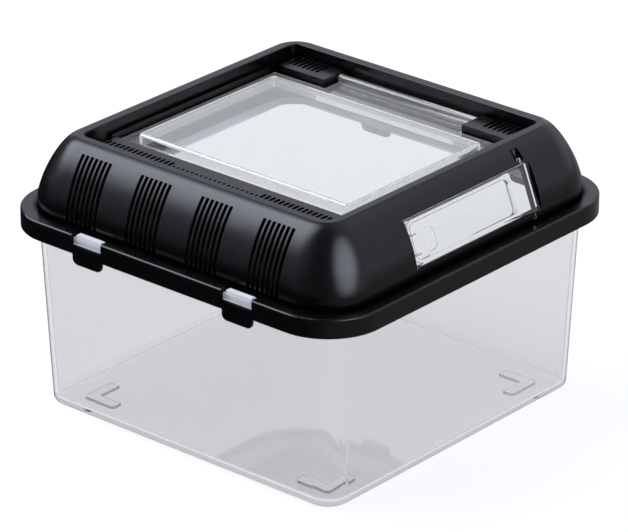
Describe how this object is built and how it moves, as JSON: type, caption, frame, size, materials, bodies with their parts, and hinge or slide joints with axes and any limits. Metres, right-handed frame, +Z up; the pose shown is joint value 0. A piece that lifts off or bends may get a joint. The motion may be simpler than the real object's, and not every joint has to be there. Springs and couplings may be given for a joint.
{
  "type": "pet keeper",
  "caption": "Square clear plastic pet keeper with a black vented lift-off lid, a hinged clear hatch in its top, a hinged clear side door and flexing latch tabs.",
  "frame": {"origin": "on the ground under the centre of the tub", "axes": "+Z up, -Y the front with the vent slots, +X the side with the door, +Y the back with the hatch hinge"},
  "size_m": [0.205, 0.205, 0.1345],
  "materials": {
    "tub_clear": "clear moulded polystyrene, gloss",
    "lid_black": "fine satin moulded black",
    "hatch_clear": "clear moulded polystyrene, gloss",
    "door_clear": "clear moulded polystyrene, gloss"
  },
  "bodies": {
    "tub": {"tub": "tub_clear"},
    "lid": {"lid": "lid_black"},
    "top_hatch": {"top_hatch": "hatch_clear"},
    "side_door": {"side_door": "door_clear"},
    "front_left_latch": {"front_left_latch": "lid_black"},
    "front_right_latch": {"front_right_latch": "lid_black"},
    "rear_left_latch": {"rear_left_latch": "lid_black"},
    "rear_right_latch": {"rear_right_latch": "lid_black"}
  },
  "joints": [
    {"name": "lid_lift", "type": "slide", "parent": "tub", "child": "lid", "axis": [0, 0, 1], "range_m": [0, 0.16]},
    {"name": "hatch_hinge", "type": "hinge", "parent": "lid", "child": "top_hatch", "pos_m": [0, 0.069, 0.1269], "axis": [-1, 0, 0], "range_deg": [0, 105]},
    {"name": "door_hinge", "type": "hinge", "parent": "lid", "child": "side_door", "pos_m": [0.09048, 0.0445, 0.11545], "axis": [-0.3626, 0, 0.9319], "range_deg": [0, 110]},
    {"name": "front_left_flex", "type": "hinge", "parent": "lid", "child": "front_left_latch", "pos_m": [-0.0452, -0.1008, 0.0949], "axis": [-1, 0, 0], "range_deg": [0, 14], "stiffness_Nm_per_rad": 0.005},
    {"name": "front_right_flex", "type": "hinge", "parent": "lid", "child": "front_right_latch", "pos_m": [0.0452, -0.1008, 0.0949], "axis": [-1, 0, 0], "range_deg": [0, 14], "stiffness_Nm_per_rad": 0.005},
    {"name": "rear_left_flex", "type": "hinge", "parent": "lid", "child": "rear_left_latch", "pos_m": [-0.0452, 0.1008, 0.0949], "axis": [1, 0, 0], "range_deg": [0, 14], "stiffness_Nm_per_rad": 0.005},
    {"name": "rear_right_flex", "type": "hinge", "parent": "lid", "child": "rear_right_latch", "pos_m": [0.0452, 0.1008, 0.0949], "axis": [1, 0, 0], "range_deg": [0, 14], "stiffness_Nm_per_rad": 0.005}
  ]
}
